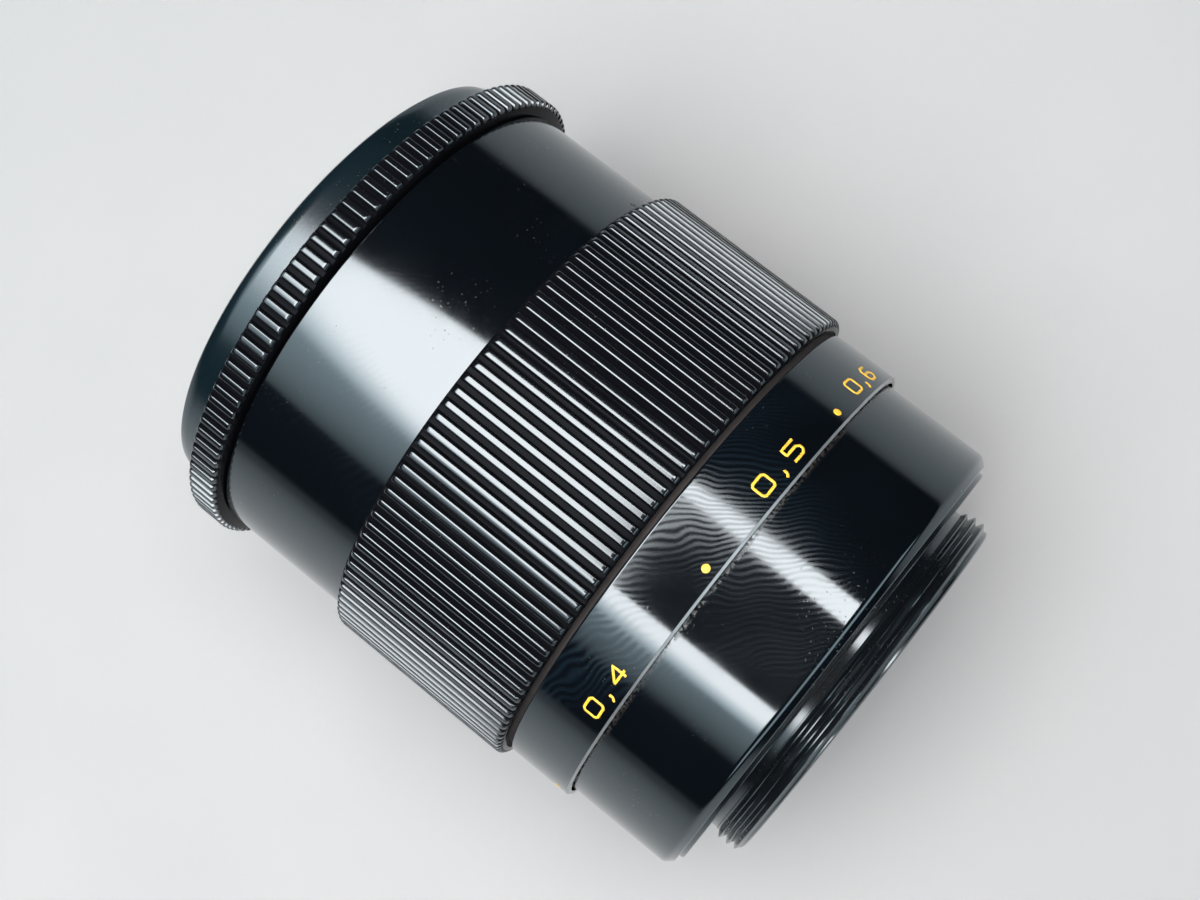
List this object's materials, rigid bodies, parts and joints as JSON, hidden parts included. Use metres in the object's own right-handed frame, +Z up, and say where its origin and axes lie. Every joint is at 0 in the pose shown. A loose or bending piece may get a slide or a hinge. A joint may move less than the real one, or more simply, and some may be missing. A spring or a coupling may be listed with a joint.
{
  "type": "prime camera lens",
  "caption": "Manual-focus prime camera lens with a threaded mount, a fluted focusing ring with a distance scale, a sliding head, an aperture ring and an iris.",
  "frame": {"origin": "bottom centre of the bounding box of the lens as it lies on its side, under the middle of its length", "axes": "-Y along the optical axis towards the front of the lens, +Z up, so the lens lies on its widest ring"},
  "size_m": [0.0576, 0.0706, 0.0575],
  "materials": {
    "anodised_black": "glossy black anodising",
    "satin_black": "satin black",
    "matt_black": "matt black",
    "brass": "turned",
    "blued_steel": "blued",
    "coated_glass": "coated, polished"
  },
  "bodies": {
    "fixed_barrel": {"mount_thread_ring": "anodised_black", "fixed_barrel": "anodised_black", "focus_retainer_ring": "brass", "focus_guide_key": "brass", "guide_key_screw": "blued_steel"},
    "focusing_ring": {"focus_grip": "anodised_black", "distance_scale_ring": "anodised_black", "focus_helicoid_nut": "brass", "focus_lock_ring": "brass"},
    "lens_head": {"head_tube": "anodised_black", "head_helicoid": "satin_black", "tube_grub_screw_1": "blued_steel", "tube_grub_screw_2": "blued_steel", "front_rim": "anodised_black", "baffle_cone": "matt_black", "block_barrel": "satin_black", "block_retainer_ring": "brass", "front_cell": "satin_black", "front_name_ring": "anodised_black", "front_lens": "coated_glass", "lens_spacer": "matt_black", "middle_lens": "coated_glass", "iris_base_plate": "matt_black", "rear_cell": "satin_black", "rear_lens_front": "coated_glass", "rear_lens_back": "coated_glass", "rear_lens_retainer": "matt_black"},
    "aperture_control": {"aperture_ring": "anodised_black", "aperture_drive_sleeve": "satin_black", "aperture_drive_arm": "brass", "iris_cam_plate": "matt_black"},
    "blade_1": {"iris_blade_1": "blued_steel"},
    "blade_2": {"iris_blade_2": "blued_steel"},
    "blade_3": {"iris_blade_3": "blued_steel"},
    "blade_4": {"iris_blade_4": "blued_steel"},
    "blade_5": {"iris_blade_5": "blued_steel"},
    "blade_6": {"iris_blade_6": "blued_steel"}
  },
  "joints": [
    {"name": "focus_turn", "type": "hinge", "parent": "fixed_barrel", "child": "focusing_ring", "pos_m": [0, 0, 0.02875], "axis": [0, 1, 0], "range_deg": [0, 343.5]},
    {"name": "head_slide", "type": "slide", "parent": "fixed_barrel", "child": "lens_head", "axis": [0, 1, 0], "range_m": [0, 0.01527]},
    {"name": "aperture_turn", "type": "hinge", "parent": "lens_head", "child": "aperture_control", "pos_m": [0, 0, 0.02875], "axis": [0, -1, 0], "range_deg": [-19.8, 30.1]},
    {"name": "blade_pivot_1", "type": "hinge", "parent": "lens_head", "child": "blade_1", "pos_m": [0.0144, 0.0099, 0.02875], "axis": [0, -1, 0], "range_deg": [-11.28, 17.18]},
    {"name": "blade_pivot_2", "type": "hinge", "parent": "lens_head", "child": "blade_2", "pos_m": [0.0072, 0.0099, 0.04122], "axis": [0, -1, 0], "range_deg": [-11.28, 17.18]},
    {"name": "blade_pivot_3", "type": "hinge", "parent": "lens_head", "child": "blade_3", "pos_m": [-0.0072, 0.0099, 0.04122], "axis": [0, -1, 0], "range_deg": [-11.28, 17.18]},
    {"name": "blade_pivot_4", "type": "hinge", "parent": "lens_head", "child": "blade_4", "pos_m": [-0.0144, 0.0099, 0.02875], "axis": [0, -1, 0], "range_deg": [-11.28, 17.18]},
    {"name": "blade_pivot_5", "type": "hinge", "parent": "lens_head", "child": "blade_5", "pos_m": [-0.0072, 0.0099, 0.01628], "axis": [0, -1, 0], "range_deg": [-11.28, 17.18]},
    {"name": "blade_pivot_6", "type": "hinge", "parent": "lens_head", "child": "blade_6", "pos_m": [0.0072, 0.0099, 0.01628], "axis": [0, -1, 0], "range_deg": [-11.28, 17.18]}
  ],
  "couplings": [
    {"joint": "head_slide", "follows": "focus_turn", "m_per_rad": 0.0025465},
    {"joint": "blade_pivot_1", "follows": "aperture_turn", "ratio": 0.5692},
    {"joint": "blade_pivot_2", "follows": "aperture_turn", "ratio": 0.5692},
    {"joint": "blade_pivot_3", "follows": "aperture_turn", "ratio": 0.5692},
    {"joint": "blade_pivot_4", "follows": "aperture_turn", "ratio": 0.5692},
    {"joint": "blade_pivot_5", "follows": "aperture_turn", "ratio": 0.5692},
    {"joint": "blade_pivot_6", "follows": "aperture_turn", "ratio": 0.5692}
  ]
}
